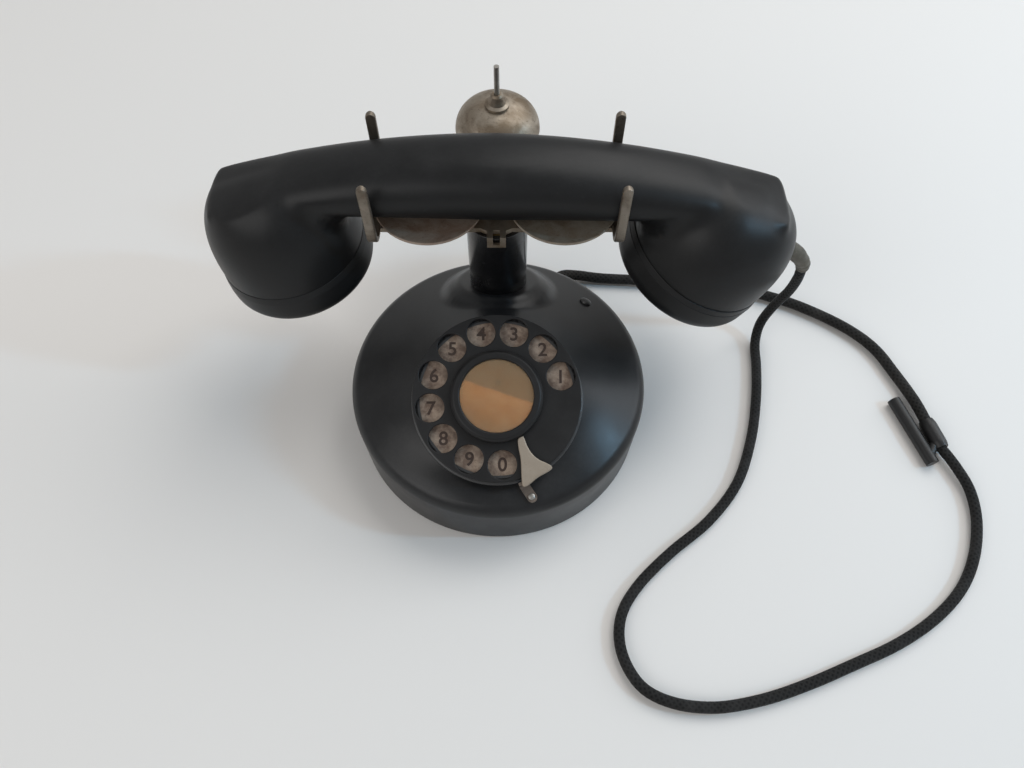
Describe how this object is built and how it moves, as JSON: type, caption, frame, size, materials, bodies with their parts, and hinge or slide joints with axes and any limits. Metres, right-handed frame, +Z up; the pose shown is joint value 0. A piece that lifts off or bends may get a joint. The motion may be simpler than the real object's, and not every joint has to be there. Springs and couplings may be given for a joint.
{
  "type": "antique cradle telephone",
  "caption": "Antique desk telephone: a round black drum with a tilted finger-wheel dial, a column with a nickelled spring cradle and bell, and an arched handset on a braided cord.",
  "frame": {"origin": "on the table, under the middle of the drum, at the bottom face of the felt", "axes": "+Z up, +X to the right of the person who dials, along the handset, +Y away from that person"},
  "size_m": [0.3559, 0.2573, 0.134],
  "materials": {
    "black_enamel": "satin black enamel, worn",
    "nickel": "worn nickel over brass",
    "steel": "bright steel",
    "stop_plate": "polished",
    "brass": "machined brass",
    "felt": "felt",
    "number_enamel": "pale enamel, aged",
    "card": "paper card",
    "celluloid": "clear amber celluloid",
    "hard_rubber": "polished black hard rubber",
    "insulation": "moulded black",
    "boot_rubber": "aged olive rubber",
    "cord_braid": "braided cotton",
    "coil_cover": "varnished winding"
  },
  "bodies": {
    "base": {"base_shell": "black_enamel", "base_plate": "steel", "felt_disc": "felt", "base_screws": "steel", "dome_screw": "black_enamel", "stem_tube": "black_enamel", "stem_nut": "steel", "rod_guides": "brass", "dial_case": "black_enamel", "dial_bush": "brass", "number_plate": "number_enamel", "finger_stop": "stop_plate", "stop_screw": "steel", "gear_plate": "brass", "pulse_springs": "brass", "spring_barrel": "steel", "switch_frame": "steel", "switch_springs": "brass", "terminal_block": "insulation", "terminal_screws": "brass", "cord_bush": "insulation", "bell_bracket": "nickel", "bell_post": "nickel", "bell": "nickel", "bell_nut": "nickel", "bell_coil": "coil_cover", "cradle_spring": "steel", "handset_cord": "cord_braid", "base_cord": "cord_braid", "cord_clip": "insulation"},
    "dial": {"finger_wheel": "black_enamel", "card_ring": "black_enamel", "number_card": "card", "card_window": "celluloid", "dial_shaft": "steel", "main_gear": "brass"},
    "pulse_shaft": {"pulse_pinion": "steel", "pulse_cam": "brass"},
    "governor": {"governor": "brass"},
    "cradle": {"cradle_bridge": "nickel", "cradle_bowls": "nickel", "left_fork": "nickel", "right_fork": "nickel", "cradle_rod": "steel"},
    "handset": {"handset_handle": "hard_rubber", "ear_cap": "hard_rubber", "ear_unit": "brass", "ear_diaphragm": "steel", "mouthpiece": "hard_rubber", "mouth_unit": "brass", "cord_elbow": "boot_rubber"},
    "striker": {"bell_striker": "steel"}
  },
  "joints": [
    {"name": "dial_turn", "type": "hinge", "parent": "base", "child": "dial", "pos_m": [0, -0.022, 0.0491], "axis": [0, -0.342, 0.9397], "range_deg": [-318, 0]},
    {"name": "pulse_spin", "type": "hinge", "parent": "base", "child": "pulse_shaft", "pos_m": [-0.021, -0.022, 0.0491], "axis": [0, -0.342, 0.9397], "range_deg": [0, 1272]},
    {"name": "governor_spin", "type": "hinge", "parent": "base", "child": "governor", "pos_m": [-0.02308, -0.0331, 0.04506], "axis": [0, -0.342, 0.9397], "range_deg": [-3816, 0]},
    {"name": "handset_lift", "type": "slide", "parent": "base", "child": "handset", "axis": [0, 0, 1], "range_m": [0, 0.12]},
    {"name": "cradle_rise", "type": "slide", "parent": "base", "child": "cradle", "axis": [0, 0, 1], "range_m": [0, 0.005], "deforming": ["cradle_spring"]},
    {"name": "striker_swing", "type": "hinge", "parent": "base", "child": "striker", "pos_m": [-0.009, 0.0996, 0], "axis": [0, 0, 1], "range_deg": [-6, 3]}
  ],
  "couplings": [
    {"joint": "pulse_spin", "follows": "dial_turn", "ratio": -4},
    {"joint": "governor_spin", "follows": "dial_turn", "ratio": 12},
    {"joint": "cradle_rise", "follows": "handset_lift", "ratio": 0.04166}
  ]
}
